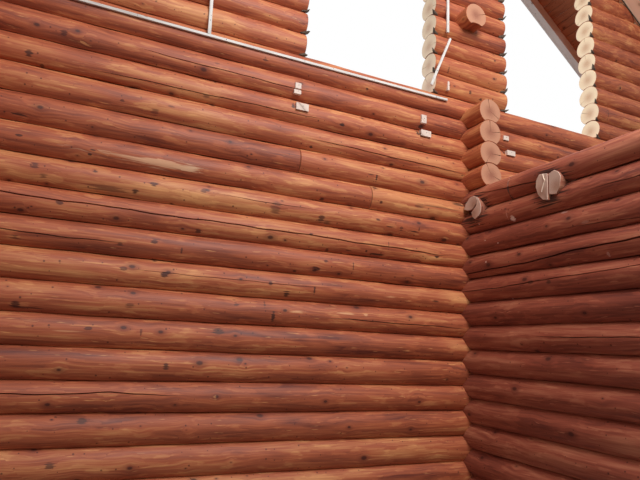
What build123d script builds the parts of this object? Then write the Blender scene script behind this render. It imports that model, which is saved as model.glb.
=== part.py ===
"""Gable wall of a round-log house with the log partition that crosses it.

The wall stands in the plane x-z with its room side towards -y. The partition runs along y.
The origin is at floor level where the centre lines of the two walls cross. Millimetres, z up.

Logs lie in courses. Each is hollowed underneath along its whole length to sit on the log
below, and saddle-notched underneath where it rides over a crossing log, whose courses lie
half a course lower or higher. A lower log is never cut by the one above it.
"""

import os
from math import atan2, cos, degrees, hypot, radians, tan

from build123d import *

# Logs, drawn with enough flats to read as round
LOG_RADIUS = 120
LOG_FLATS = 12
COURSE_HEIGHT = 208
SEAT_GAP = 0.3
LOG_END = 350

# Walls, measured from where their centre lines cross
HALF_SPAN = 4150
SIDE_COURSES = 21
SIDE_RETURN = 600
PARTITION_LENGTH = 3000
PARTITION_COURSES = 15

# Two like windows, one each side of a pillar that stands over the partition
PILLAR_WIDTH = 880
WINDOW_WIDTH = 1330
SILL_COURSE = 19
WINDOW_COURSES = 9

# Single short log that crosses the pillar halfway up
UPPER_TIE_COURSE = 23
UPPER_TIE_END = 250
UPPER_TIE_OFFSET = -60

# Butt joints in logs made of two lengths: course, then place along the wall
GABLE_SPLICES = {14: -1100, 15: -1770}
PARTITION_SPLICES = {14: -673}
SPLICE_GAP = 2

# Floor joists of the upper storey, whose hewn ends come through the partition
JOIST_RADIUS = 118
JOIST_FIRST = 317
JOIST_SPACING = 844
JOIST_COUNT = 2
JOIST_REACH = 600
JOIST_TIP_LENGTH = 80
JOIST_TIP_ROOT = 112
JOIST_TIP_END = 96

# Roof strip over the gable, whose boards lie on the top logs of the side walls
ROOF_PITCH = 39.6
ROOF_BOARD = 25
EAVES_REACH = 600
VERGE_REACH = 850
VERGE_BOARD = 30
VERGE_RAFTER = 80
VERGE_RAFTER_DEPTH = 120

# Pale battens nailed to the room side, placed from the sill and from the pillar's left edge
BATTEN_WIDTH = 36
BATTEN_THICKNESS = 18
SILL_BATTEN_RISE = 9
SILL_BATTEN_INSET = 60
SILL_BATTEN_LAP = 130
ROOM_BATTEN_DISTANCE = 830
ROOM_BATTEN_HEADROOM = 100
PILLAR_BATTEN_INSET = 125
PILLAR_BATTEN_FOOT = 634
LATH_WIDTH = 22
LATH_FOOT = (-48, 32)
LATH_TOP = (159, 577)

# Sizes worked out from those above
HALF_COURSE = COURSE_HEIGHT / 2
SEAT_RADIUS = LOG_RADIUS + SEAT_GAP
GABLE_END = HALF_SPAN + LOG_END
JAMB_INNER = PILLAR_WIDTH / 2
JAMB_OUTER = JAMB_INNER + WINDOW_WIDTH
HEAD_COURSE = SILL_COURSE + WINDOW_COURSES
SILL_HEIGHT = SILL_COURSE * COURSE_HEIGHT + HALF_COURSE
HEAD_HEIGHT = HEAD_COURSE * COURSE_HEIGHT + HALF_COURSE
PITCH_SLOPE = tan(radians(ROOF_PITCH))
PITCH_LIFT = 1 / cos(radians(ROOF_PITCH))
TOP_SIDE_LOG = SIDE_COURSES * COURSE_HEIGHT - HALF_COURSE
RIDGE_HEIGHT = TOP_SIDE_LOG + SEAT_RADIUS * PITCH_LIFT + HALF_SPAN * PITCH_SLOPE
LAST_COURSE = int((RIDGE_HEIGHT - HALF_COURSE) // COURSE_HEIGHT)
BATTEN_BACK = -LOG_RADIUS - SEAT_GAP


def gable_height(course):
    """Centre height of a gable log, whose first course is a half log on the floor."""
    return course * COURSE_HEIGHT


def cross_height(course):
    """Centre height of a partition or side-wall log, half a course above the gable's."""
    return course * COURSE_HEIGHT + HALF_COURSE


def roof_height(x):
    """Height of the underside of the roof boards."""
    return RIDGE_HEIGHT - abs(x) * PITCH_SLOPE


def under_roof(half_depth):
    """Everything under the roof boards, as a block that reaches this far from the wall's centre."""
    edge = GABLE_END + LOG_RADIUS
    low = roof_height(edge) - SEAT_GAP
    top = RIDGE_HEIGHT - SEAT_GAP
    outline = Polyline((-edge, 0), (-edge, low), (0, top), (edge, low), (edge, 0), close=True)
    return extrude(make_face(Plane.XZ * outline), half_depth, both=True)


def log_plane(along, place, start, height):
    """Plane across a log at its start, facing along it, with its own y axis straight up."""
    if along == "x":
        return Plane(origin=(start, place, height), x_dir=(0, 1, 0), z_dir=(1, 0, 0))
    return Plane(origin=(place, start, height), x_dir=(-1, 0, 0), z_dir=(0, 1, 0))


def round_section(radius):
    """Log section whose flats all lie at the given radius, with an upright flat on each side."""
    return RegularPolygon(radius, LOG_FLATS, major_radius=False, rotation=180 / LOG_FLATS)


def bare_log(along, place, start, end, height):
    """Round log hollowed underneath over the log below, or flat where it lies on the floor."""
    section = round_section(LOG_RADIUS)
    if height > LOG_RADIUS:
        section -= Pos(0, -COURSE_HEIGHT) * round_section(SEAT_RADIUS)
    else:
        below = Rectangle(4 * LOG_RADIUS, 4 * LOG_RADIUS, align=(Align.CENTER, Align.MAX))
        section -= Pos(0, -height) * below
    return extrude(log_plane(along, place, start, height) * section, end - start)


def saddle(along, place, centre, height, radius=LOG_RADIUS):
    """Space that a crossing log below takes out of the log above it."""
    reach = 2 * LOG_RADIUS
    section = round_section(radius + SEAT_GAP)
    return extrude(log_plane(along, place, centre - reach, height) * section, 2 * reach)


def crossed_at(course):
    """Places along the gable wall where this course rides over a crossing log."""
    lower = course - 1
    places = []
    if 0 <= lower < SIDE_COURSES:
        places += [-HALF_SPAN, HALF_SPAN]
    if 0 <= lower < SILL_COURSE:
        places.append(0)
    if lower == UPPER_TIE_COURSE:
        places.append(UPPER_TIE_OFFSET)
    return places


def gable_log(course, start, end):
    """Gable log, or its length beside a window, cut to the slope where it meets the roof."""
    height = gable_height(course)
    log = bare_log("x", 0, start, end, height)
    for place in crossed_at(course):
        if start < place < end:
            log -= saddle("y", place, 0, height - HALF_COURSE)
    if course == SILL_COURSE:
        cut = Box(WINDOW_WIDTH, 4 * LOG_RADIUS, LOG_RADIUS, align=(Align.CENTER, Align.CENTER, Align.MIN))
        for side in (-1, 1):
            log -= Pos(side * (JAMB_INNER + JAMB_OUTER) / 2, 0, SILL_HEIGHT) * cut
    if height + 2 * LOG_RADIUS > roof_height(max(-start, end)):
        log &= under_roof(2 * LOG_RADIUS)
        # The slope may cut off a loose scrap beyond the last notch
        log = log.solids().sort_by(SortBy.VOLUME)[-1]
    return log


def cross_log(course, place, start):
    """Log that crosses the gable wall from the room side to its outer end."""
    height = cross_height(course)
    log = bare_log("y", place, start, LOG_END, height)
    log -= saddle("x", 0, place, height - HALF_COURSE)
    if height + 2 * LOG_RADIUS > roof_height(abs(place) + LOG_RADIUS):
        log &= under_roof(2 * SIDE_RETURN)
    return log


def joist_places():
    """Places of the joists along the partition, counted from the gable wall."""
    return [-JOIST_FIRST - number * JOIST_SPACING for number in range(JOIST_COUNT)]


def partition_log(course):
    """Partition log, of which the top one also rides over the joists."""
    log = cross_log(course, 0, -PARTITION_LENGTH)
    if course == PARTITION_COURSES - 1:
        for place in joist_places():
            log -= saddle("x", place, 0, cross_height(course) - HALF_COURSE, JOIST_RADIUS)
    return log


def in_two(log, along, joint, height):
    """A log sawn into two lengths that butt with a saw's width between them."""
    section = Rectangle(4 * LOG_RADIUS, 4 * LOG_RADIUS)
    return log - extrude(log_plane(along, 0, joint - SPLICE_GAP / 2, height) * section, SPLICE_GAP)


def joist(place):
    """Round joist in the partition, its end on the room side hewn to a tapered six-sided tip."""
    height = cross_height(PARTITION_COURSES - 1) - HALF_COURSE
    root = log_plane("x", place, -LOG_RADIUS, height)
    tip = log_plane("x", place, -LOG_RADIUS - JOIST_TIP_LENGTH, height)
    body = extrude(root * round_section(JOIST_RADIUS), LOG_RADIUS + JOIST_REACH)
    body += loft([tip * RegularPolygon(JOIST_TIP_END, 6), root * RegularPolygon(JOIST_TIP_ROOT, 6)])
    return body - saddle("y", 0, place, height - HALF_COURSE)


def slope_prism(bottom, top, y_start, y_end, side):
    """Prism along y between two depths over the boards' underside, plumb at ridge and eaves."""
    reach = HALF_SPAN + EAVES_REACH
    fall = reach * PITCH_SLOPE
    outline = Polyline(
        (side * SEAT_GAP, RIDGE_HEIGHT + bottom * PITCH_LIFT),
        (side * reach, RIDGE_HEIGHT + bottom * PITCH_LIFT - fall),
        (side * reach, RIDGE_HEIGHT + top * PITCH_LIFT - fall),
        (side * SEAT_GAP, RIDGE_HEIGHT + top * PITCH_LIFT),
        close=True,
    )
    middle = Plane.XZ.offset(-(y_start + y_end) / 2)
    return extrude(make_face(middle * outline), (y_end - y_start) / 2, both=True)


def batten(foot, top, width):
    """Straight batten with its back against the log crowns, from foot to top as x and z."""
    run, rise = top[0] - foot[0], top[1] - foot[1]
    body = Box(width, BATTEN_THICKNESS, hypot(run, rise), align=(Align.CENTER, Align.MAX, Align.MIN))
    lean = degrees(atan2(run, rise))
    return Pos(foot[0], BATTEN_BACK, foot[1]) * Rot(0, lean, 0) * body


def turn(course):
    """Courses that don't touch share a piece, so odd ones and even ones are kept apart."""
    return "odd" if course % 2 else "even"


def pair(course, count):
    """Name for a course and the next but one, where the wall goes up that far."""
    first = course // 4 * 4 + course % 2
    return f"{first:02d}_{first + 2:02d}" if first + 2 < count else f"{first:02d}"


nodes = {}


def add(node, piece):
    """Put a solid, or the lengths of a sawn log, into a named piece."""
    nodes.setdefault(node, []).extend(piece.solids())


# Gable wall below the windows
for course in range(SILL_COURSE + 1):
    log = gable_log(course, -GABLE_END, GABLE_END)
    if course in GABLE_SPLICES:
        log = in_two(log, "x", GABLE_SPLICES[course], gable_height(course))
    add(f"gable_courses_{pair(course, SILL_COURSE + 1)}", log)

# Pillar between the windows, and the piers beside them as far up as the roof leaves room
for course in range(SILL_COURSE + 1, HEAD_COURSE + 1):
    add(f"pillar_{turn(course)}", gable_log(course, -JAMB_INNER, JAMB_INNER))
    if gable_height(course) < roof_height(JAMB_OUTER):
        add(f"left_pier_{turn(course)}", gable_log(course, -GABLE_END, -JAMB_OUTER))
        add(f"right_pier_{turn(course)}", gable_log(course, JAMB_OUTER, GABLE_END))

# Gable above the windows
for course in range(HEAD_COURSE + 1, LAST_COURSE + 1):
    add(f"gable_top_{turn(course)}", gable_log(course, -GABLE_END, GABLE_END))

# Partition
for course in range(PARTITION_COURSES):
    log = partition_log(course)
    if course in PARTITION_SPLICES:
        log = in_two(log, "y", PARTITION_SPLICES[course], cross_height(course))
    add(f"partition_courses_{pair(course, PARTITION_COURSES)}", log)

# Short logs that carry the crossing on up from the partition to the sill, and one above
for course in range(PARTITION_COURSES, SILL_COURSE):
    add(f"tie_logs_{turn(course)}", cross_log(course, 0, -LOG_END))
add("upper_tie_log", cross_log(UPPER_TIE_COURSE, UPPER_TIE_OFFSET, -UPPER_TIE_END))

# Corners with the side walls
for side, place in (("left", -HALF_SPAN), ("right", HALF_SPAN)):
    for course in range(SIDE_COURSES):
        add(f"{side}_corner_{turn(course)}", cross_log(course, place, -SIDE_RETURN))

for place in joist_places():
    add("joists", joist(place))

# Roof strip: boards on the gable, a rafter under their outer edge and a board that covers both
board_end = VERGE_REACH - VERGE_BOARD
for name, side in (("left", -1), ("right", 1)):
    add(f"{name}_roof_boards", slope_prism(0, ROOF_BOARD, -LOG_END, board_end, side))
    rafter = slope_prism(-VERGE_RAFTER_DEPTH, -SEAT_GAP, board_end - VERGE_RAFTER, board_end, side)
    add(f"{name}_verge_rafter", rafter)
    edge = slope_prism(-VERGE_RAFTER_DEPTH, ROOF_BOARD, board_end + SEAT_GAP, VERGE_REACH, side)
    add(f"{name}_verge_board", edge)

# Batten under the left window, and the upright one that stands on it
sill_foot = gable_height(SILL_COURSE) + SILL_BATTEN_RISE
sill_middle = sill_foot + BATTEN_WIDTH / 2
sill_start = (-HALF_SPAN + LOG_RADIUS + SILL_BATTEN_INSET, sill_middle)
sill_end = (-JAMB_INNER + SILL_BATTEN_LAP, sill_middle)
add("sill_batten", batten(sill_start, sill_end, BATTEN_WIDTH))
room_place = -JAMB_OUTER - ROOM_BATTEN_DISTANCE
room_foot = sill_foot + BATTEN_WIDTH + SEAT_GAP
room_top = roof_height(room_place) - ROOM_BATTEN_HEADROOM
add("room_batten", batten((room_place, room_foot), (room_place, room_top), BATTEN_WIDTH))

# Batten up the pillar, and the thin lath that leans from below it to the window's foot
pillar_place = -JAMB_INNER + PILLAR_BATTEN_INSET
pillar_foot = SILL_HEIGHT + PILLAR_BATTEN_FOOT
add("pillar_batten", batten((pillar_place, pillar_foot), (pillar_place, HEAD_HEIGHT), BATTEN_WIDTH))
lath_foot = (-JAMB_INNER + LATH_FOOT[0], SILL_HEIGHT + LATH_FOOT[1])
lath_top = (-JAMB_INNER + LATH_TOP[0], SILL_HEIGHT + LATH_TOP[1])
add("jamb_lath", batten(lath_foot, lath_top, LATH_WIDTH))

os.makedirs("parts", exist_ok=True)
for node, solids in nodes.items():
    export_step(Compound(solids), f"parts/{node}.step")
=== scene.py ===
"""Gable wall of a round-log house, with the log partition that crosses it and the roof over it.

Metres, z up. The wall runs along x with its room side towards -y, and the partition runs along y.
"""

import bpy
import numpy as np
from mathutils import Matrix, Vector


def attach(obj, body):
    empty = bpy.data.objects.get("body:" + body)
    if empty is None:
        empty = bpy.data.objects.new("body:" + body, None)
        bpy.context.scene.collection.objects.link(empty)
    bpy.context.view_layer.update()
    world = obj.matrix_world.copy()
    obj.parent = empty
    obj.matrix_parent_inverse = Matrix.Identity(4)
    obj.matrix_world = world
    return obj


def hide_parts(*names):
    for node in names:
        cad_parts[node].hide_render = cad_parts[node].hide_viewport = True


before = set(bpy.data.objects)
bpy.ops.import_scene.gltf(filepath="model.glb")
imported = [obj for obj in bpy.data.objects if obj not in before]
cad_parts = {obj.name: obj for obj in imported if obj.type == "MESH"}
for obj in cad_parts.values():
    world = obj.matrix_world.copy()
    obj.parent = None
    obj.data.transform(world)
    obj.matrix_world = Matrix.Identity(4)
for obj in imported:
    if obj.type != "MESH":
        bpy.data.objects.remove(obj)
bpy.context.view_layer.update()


# Gable wall below the windows: softwood logs turned to 240 mm, each hollowed underneath to lie on
# the one below. They are stained orange-brown and have a satin varnish. As logs dry from outside
# in, long checks open along them, mostly level with the heart.
LOG_RADIUS = 0.12
SEAT_RADIUS = 0.1203
LIP_GAP = 0.005
COURSE = 0.208
SILL_COURSES = 20
LAST_COURSE = 37
GABLE_END = 4.5
SAW_EDGE = 0.003
RIDGE = 7.8533
ROOF_SLOPE = np.tan(np.radians(39.6))
ROOF_GAP = 0.0006
CAP_RINGS = np.array([0.3, 0.55, 0.8])
SKIN_COLUMNS = 37
SEAT_COLUMNS = 8
SEAT_SLANT = 1.0


def hex_colour(code):
    """Linear RGBA of an sRGB hex value, by the standard curve: a short line, then a power of 2.4."""
    channels = np.array([int(code[place : place + 2], 16) / 255 for place in (0, 2, 4)])
    linear = np.where(channels <= 0.04045, channels / 12.92, ((channels + 0.055) / 1.055) ** 2.4)
    return (*linear.tolist(), 1.0)


def add_node(tree, kind, inputs=None, **settings):
    """Adds one shader node, sets its properties, and links or sets its inputs by name or number.

    An input that is given a node takes that node's first output.
    """
    new = tree.nodes.new(f"ShaderNode{kind}")
    for key, value in settings.items():
        setattr(new, key, value)
    for key, value in (inputs or {}).items():
        if isinstance(value, bpy.types.Node):
            value = value.outputs[0]
        if isinstance(value, bpy.types.NodeSocket):
            tree.links.new(value, new.inputs[key])
        else:
            new.inputs[key].default_value = value
    return new


def new_material(name):
    """Empty material, given with its node tree and its shader."""
    material = bpy.data.materials.new(name)
    material.use_nodes = True
    return material, material.node_tree, material.node_tree.nodes["Principled BSDF"]


def varnished_log(name, dark, middle, light, marks=(), marks_along="x", knot_colour="3E120A"):
    """Turned softwood log under stain and satin varnish.

    The eye gets streaks along the fibre that bend round knots, the knots themselves, which take the
    stain darkest, scattered pin knots, patches where the stain took less, and a broad dull sheen.
    The grain attribute runs along the log, round it and from log to log, in metres.
    """
    material, tree, varnish = new_material(name)
    grain = add_node(tree, "Attribute", attribute_name="grain").outputs["Vector"]
    tint = add_node(tree, "Attribute", attribute_name="tint").outputs["Fac"]
    check = add_node(tree, "Attribute", attribute_name="check").outputs["Fac"]

    # Knots sit one to a cell of 280 mm and pin knots one to a cell of 90 mm, and some cells have none
    knots_per_metre = 3.6
    knots = {}
    for kind, density, missing in (("knot", knots_per_metre, 0.42), ("pin", 11.0, 0.55)):
        spread = add_node(tree, "VectorMath", {0: grain, 1: (density,) * 3}, operation="MULTIPLY")
        cells = add_node(tree, "TexVoronoi", {"Vector": spread, "Scale": 1.0}, voronoi_dimensions="2D")
        chance = add_node(tree, "SeparateColor", {"Color": cells.outputs["Color"]})
        present = add_node(tree, "Math", {0: chance.outputs[1], 1: missing}, operation="GREATER_THAN")
        knots[kind] = (spread, cells, chance, present)

    # The grain bends out round a knot: at r from it, its offset across shrinks by a2 / (r2 + a2)
    spread, cells, chance, present = knots["knot"]
    offset = add_node(tree, "VectorMath", {0: spread, 1: cells.outputs["Position"]}, operation="SUBTRACT")
    offset = add_node(tree, "VectorMath", {0: offset, 1: (1, 1, 0)}, operation="MULTIPLY")
    square = add_node(tree, "VectorMath", {0: offset, 1: offset}, operation="DOT_PRODUCT")
    bulge = 0.014
    wider = add_node(tree, "Math", {0: square.outputs["Value"], 1: bulge}, operation="ADD")
    share = add_node(tree, "Math", {0: bulge, 1: wider}, operation="DIVIDE")
    share = add_node(tree, "Math", {0: share, 1: present}, operation="MULTIPLY")
    bend = add_node(tree, "VectorMath", {0: offset, "Scale": share}, operation="SCALE")
    fibres = add_node(
        tree, "VectorMath", {0: bend, 1: (0, -1 / knots_per_metre, 0), 2: grain}, operation="MULTIPLY_ADD"
    )

    # Fibres 11 mm apart, streaks 45 mm, blotches 250 mm and bare patches 55 mm, drawn out along the log
    noise = {}
    for pattern, stretch, detail in (
        ("fibre", (4.0, 90, 1), 6),
        ("streak", (1.3, 22, 1), 4),
        ("blotch", (1.3, 4, 1), 3),
        ("patch", (4.5, 18, 1), 4),
        ("scratch", (6.5, 75, 1), 2),
        ("ring", (0.35, 5, 1), 1),
    ):
        place = add_node(tree, "Mapping", {"Vector": fibres, "Scale": stretch})
        noise[pattern] = add_node(tree, "TexNoise", {"Vector": place, "Scale": 1.0, "Detail": detail})
    shade = tint
    for pattern, weight in (("fibre", 0.55), ("streak", 0.75), ("blotch", 0.7)):
        shade = add_node(tree, "Math", {0: noise[pattern], 1: weight, 2: shade}, operation="MULTIPLY_ADD")
    bare = add_node(
        tree, "MapRange",
        {"Value": noise["patch"], "From Min": 0.56, "From Max": 0.62, "To Max": 0.13},
        interpolation_type="SMOOTHSTEP",
    )
    shade = add_node(tree, "Math", {0: bare, 1: shade}, operation="ADD")

    # Growth rings that the lathe cut lengthwise show as drawn-out contour lines of a slow noise, 14 to
    # its whole range
    ring_phase, ring_shade, ring_relief = 90.0, 0.05, 0.12
    turned = add_node(tree, "Math", {0: noise["ring"], 1: ring_phase}, operation="MULTIPLY")
    contour = add_node(tree, "Math", {0: turned}, operation="SINE")
    shade = add_node(tree, "Math", {0: contour, 1: ring_shade, 2: shade}, operation="MULTIPLY_ADD")
    ramp = add_node(tree, "ValToRGB", {"Fac": shade})
    for stop, (place, code) in zip(ramp.color_ramp.elements, ((0.12, dark), (0.92, light))):
        stop.position = place
        stop.color = hex_colour(code)
    ramp.color_ramp.elements.new(0.5).color = hex_colour(middle)
    colour = ramp.outputs["Color"]

    # Each knot is a dark core, the larger ones with a softer halo, by its own radius in cells. Large
    # ones are rare, and a little noise about zero makes their edges uneven.
    rarity, wobble = 1.7, 0.05
    oval = add_node(tree, "VectorMath", {0: offset, 1: (0.7, 1.1, 0)}, operation="MULTIPLY")
    oval = add_node(tree, "VectorMath", {0: oval}, operation="LENGTH")
    pin_distance = knots["pin"][1].outputs["Distance"]
    knot_rims = ((0.8, 3.4, 0.45, dark), (0.5, 1.3, 0.85, knot_colour))
    pin_rims = ((0.6, 1.4, 0.75, knot_colour),)
    for kind, from_middle, least, range_of_size, rims in (
        ("knot", oval.outputs["Value"], 0.012, 0.055, knot_rims),
        ("pin", pin_distance, 0.03, 0.045, pin_rims),
    ):
        spread, cells, chance, present = knots[kind]
        rare = add_node(tree, "Math", {0: chance, 1: rarity}, operation="POWER")
        size = add_node(tree, "Math", {0: rare, 1: range_of_size, 2: least}, operation="MULTIPLY_ADD")
        uneven = add_node(
            tree, "Math", {0: noise["patch"], 1: wobble, 2: from_middle}, operation="MULTIPLY_ADD"
        )
        centred = add_node(tree, "Math", {0: uneven, 1: wobble / 2}, operation="SUBTRACT")
        away = add_node(tree, "Math", {0: centred, 1: size}, operation="DIVIDE")
        for inner, outer, strength, stain in rims:
            fade = add_node(
                tree, "MapRange",
                {"Value": away, "From Min": inner, "From Max": outer, "To Min": strength, "To Max": 0.0},
                interpolation_type="SMOOTHSTEP",
            )
            amount = add_node(tree, "Math", {0: fade, 1: present}, operation="MULTIPLY")
            colour = add_node(
                tree, "Mix", {0: amount, 6: colour, 7: hex_colour(stain)}, data_type="RGBA"
            ).outputs[2]

    # Scratches through the stain, about 80 mm long
    scratch = add_node(
        tree, "MapRange",
        {"Value": noise["scratch"], "From Min": 0.67, "From Max": 0.74, "To Max": 0.7},
        interpolation_type="SMOOTHSTEP",
    )
    colour = add_node(
        tree, "Mix", {0: scratch, 6: colour, 7: hex_colour(light)}, data_type="RGBA"
    ).outputs[2]

    # Single knots, dents, bare streaks and patches of painted shade on the side towards the room, each
    # given by its place, half its length and height, its strength and its colour, and 125 mm deep. The fibre
    # noise frays its edge, and as that is 0.5 on average, the edge fades from 0.55 to 1.05 of its half size.
    mark_depth, fraying = 0.125, 2.8
    position = add_node(tree, "TexCoord").outputs["Object"]
    for along, z, half_along, half_z, strength, stain in marks:
        if marks_along == "x":
            place, scale = (along, -LOG_RADIUS, z), (1 / half_along, 1 / mark_depth, 1 / half_z)
        else:
            place, scale = (-LOG_RADIUS, along, z), (1 / mark_depth, 1 / half_along, 1 / half_z)
        moved = tuple(-distance * factor for distance, factor in zip(place, scale))
        fitted = add_node(tree, "Mapping", {"Vector": position, "Location": moved, "Scale": scale})
        distance = add_node(tree, "VectorMath", {0: fitted}, operation="LENGTH")
        ragged = add_node(
            tree, "Math",
            {0: noise["fibre"], 1: fraying, 2: distance.outputs["Value"]},
            operation="MULTIPLY_ADD",
        )
        fade = add_node(
            tree, "MapRange",
            {"Value": ragged, "From Min": 1.95, "From Max": 2.45, "To Min": strength, "To Max": 0.0},
            interpolation_type="SMOOTHSTEP",
        )
        colour = add_node(
            tree, "Mix", {0: fade, 6: colour, 7: hex_colour(stain)}, data_type="RGBA"
        ).outputs[2]

    # Painted shade down in the checks: their bottoms are coloured dark, as the shadow in a crack
    colour = add_node(
        tree, "Mix", {0: check, 6: colour, 7: hex_colour("1C0B06")}, data_type="RGBA"
    ).outputs[2]
    tree.links.new(colour, varnish.inputs["Base Color"])

    # The satin varnish is a little duller along some streaks, and the grain stands up through it
    least_roughness, roughness_range, patch_relief = 0.45, 0.3, 0.8
    sheen = add_node(
        tree, "Math", {0: noise["streak"], 1: roughness_range, 2: least_roughness}, operation="MULTIPLY_ADD"
    )
    tree.links.new(sheen.outputs[0], varnish.inputs["Roughness"])
    varnish.inputs["IOR"].default_value = 1.48
    relief = noise["fibre"]
    for pattern, height in ((contour, ring_relief), (noise["patch"], patch_relief)):
        relief = add_node(tree, "Math", {0: pattern, 1: height, 2: relief}, operation="MULTIPLY_ADD")
    bump = add_node(tree, "Bump", {"Height": relief, "Strength": 0.5, "Distance": 0.003})
    tree.links.new(bump.outputs[0], varnish.inputs["Normal"])
    return material


def sawn_end(name, heart, sapwood):
    """Sawn end of a log: pale where the stain was wiped on thin, with growth rings round the heart.

    The rings are 3 mm apart in the wood and drawn 8 mm apart, so that they show in the render.
    """
    material, tree, wood = new_material(name)
    across = add_node(tree, "Attribute", attribute_name="across").outputs["Vector"]
    check = add_node(tree, "Attribute", attribute_name="check").outputs["Fac"]
    ring_spacing, ring_warp, ring_contrast, fuzz_contrast = 0.008, 0.03, 0.13, 0.5
    warp = add_node(tree, "TexNoise", {"Vector": across, "Scale": 9.0, "Detail": 2.0})
    flat = add_node(tree, "VectorMath", {0: across, 1: (1, 1, 0)}, operation="MULTIPLY")
    distance = add_node(tree, "VectorMath", {0: flat}, operation="LENGTH")
    radius = add_node(
        tree, "Math", {0: warp, 1: ring_warp, 2: distance.outputs["Value"]}, operation="MULTIPLY_ADD"
    )
    turned = add_node(tree, "Math", {0: radius, 1: 2 * np.pi / ring_spacing}, operation="MULTIPLY")
    ring = add_node(tree, "Math", {0: turned}, operation="SINE")
    outward = add_node(tree, "MapRange", {"Value": radius, "From Min": 0.03, "From Max": 0.125})
    shade = add_node(tree, "Math", {0: ring, 1: ring_contrast, 2: outward}, operation="MULTIPLY_ADD")
    fuzz = add_node(tree, "TexNoise", {"Vector": across, "Scale": 160.0, "Detail": 3.0})
    shade = add_node(tree, "Math", {0: fuzz, 1: fuzz_contrast, 2: shade}, operation="MULTIPLY_ADD")
    ramp = add_node(tree, "ValToRGB", {"Fac": shade})
    for stop, (place, code) in zip(ramp.color_ramp.elements, ((0.1, heart), (0.96, sapwood))):
        stop.position = place
        stop.color = hex_colour(code)
    # Painted shade where the checks cut into the end, dark as the shadow in a crack
    dark = add_node(
        tree, "Mix", {0: check, 6: ramp.outputs["Color"], 7: hex_colour("2A140C")}, data_type="RGBA"
    )
    tree.links.new(dark.outputs[2], wood.inputs["Base Color"])
    wood.inputs["Roughness"].default_value = 0.62
    bump = add_node(tree, "Bump", {"Height": shade, "Strength": 0.3, "Distance": 0.001})
    tree.links.new(bump.outputs[0], wood.inputs["Normal"])
    return material


def groove_edge():
    """Angle from a log's top to the lip of its long groove, by the law of cosines.

    The lip lies on the skin, at the seat's radius and the lip gap from the axis of the log below.
    """
    lip_radius = SEAT_RADIUS + LIP_GAP
    cosine = (LOG_RADIUS**2 + COURSE**2 - lip_radius**2) / (2 * LOG_RADIUS * COURSE)
    return np.pi - np.arccos(cosine)


def log_outline(angle):
    """Distance from the axis to the skin: the radius, or nearer, where the ray meets the log below.

    Straight down is at pi. A ray at a slant p from straight down meets the seat, a circle one course
    lower, at course cos p less the root of seat squared less course squared sin squared p. Towards
    its lips the seat widens by the lip gap, by the square of the slant, which leaves a dark seam.
    """
    slant = np.pi - np.abs((angle + np.pi) % (2 * np.pi) - np.pi)
    seat_radius = SEAT_RADIUS + LIP_GAP * np.minimum(slant / (np.pi - groove_edge()), 1) ** 2
    inside = seat_radius**2 - (COURSE * np.sin(slant)) ** 2
    seat = COURSE * np.cos(slant) - np.sqrt(np.maximum(inside, 0))
    return np.where((inside > 0) & (slant < SEAT_SLANT), np.minimum(seat, LOG_RADIUS), LOG_RADIUS)


# Slow waves of a turned skin: their height, radians a metre along the log, and waves round it
SKIN_WAVES = ((0.0018, 2.6, 0), (0.0011, 6.3, 2), (0.0009, 14, -1), (0.0011, 0, 3))

# A check has a column at its bottom and one at each lip, and the others keep clear of them, but
# lean its way as it wanders, by so many degrees at so many radians a metre. It closes over its last
# 300 mm, by a power of the distance. Its lips open a third wider than given, so that it shows in the
# render. At a sawn end its bottom cuts in by the wedge. Other angles are in radians.
CHECK_LIP = 0.02
CHECK_CLEARANCE = 0.05
CHECK_LEAN = 0.6
CHECK_WANDER = ((1.1, 8.1), (0.6, 23))
CHECK_CLOSING = 0.3
CHECK_TAPER = 0.6
CHECK_WIDENING = 1.35
LEAST_OPENING = 0.002
# How fast the painted shade at a check's bottom, and its wedge at a sawn end, come to full as it opens
DARKENING = 3
WEDGE = 0.022

# Each log reads the patterns at its own place, up to 40 m along, and has its own shade. The noises
# of the shade add up to 1 on average, and the half that is taken off centres them on the ramp.
PATTERN_RANGE = 40
PATTERN_STEP = 7
TINT_RANGE = 0.07
TINT_CENTRE = 0.5


def columns_with_checks(columns, checks):
    """Puts three columns, lip, bottom and lip, in place of those within three degrees of each check."""
    middles = [float(np.radians(np.mean([angle for _, angle in path]))) for path, _, _ in checks]
    for middle in middles:
        columns = columns[np.abs(columns - middle) > CHECK_CLEARANCE]
    extra = [middle + offset for middle in middles for offset in (-CHECK_LIP, 0.0, CHECK_LIP)]
    columns = np.sort(np.concatenate((columns, extra)))
    return columns, middles, [int(np.argmin(np.abs(columns - middle))) for middle in middles]


def skin_faces(rows, columns, mirrored):
    """Quads of a grid closed round its columns, and a fan to one pole at each end.

    The first pole is vertex 0, the grid follows row by row, and the last pole comes at the end.
    """
    grid = 1 + np.arange(rows * columns).reshape(rows, columns)
    beside = np.roll(grid, -1, axis=1)
    quads = np.stack((grid[:-1], grid[1:], beside[1:], beside[:-1]), axis=-1).reshape(-1, 4)
    last = 1 + rows * columns
    first_fan = np.stack((np.zeros(columns, int), grid[0], beside[0]), axis=-1)
    last_fan = np.stack((grid[-1], np.full(columns, last), beside[-1]), axis=-1)
    fans = np.concatenate((first_fan, last_fan))
    if mirrored:
        quads, fans = quads[:, ::-1], fans[:, ::-1]
    return quads, fans


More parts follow.
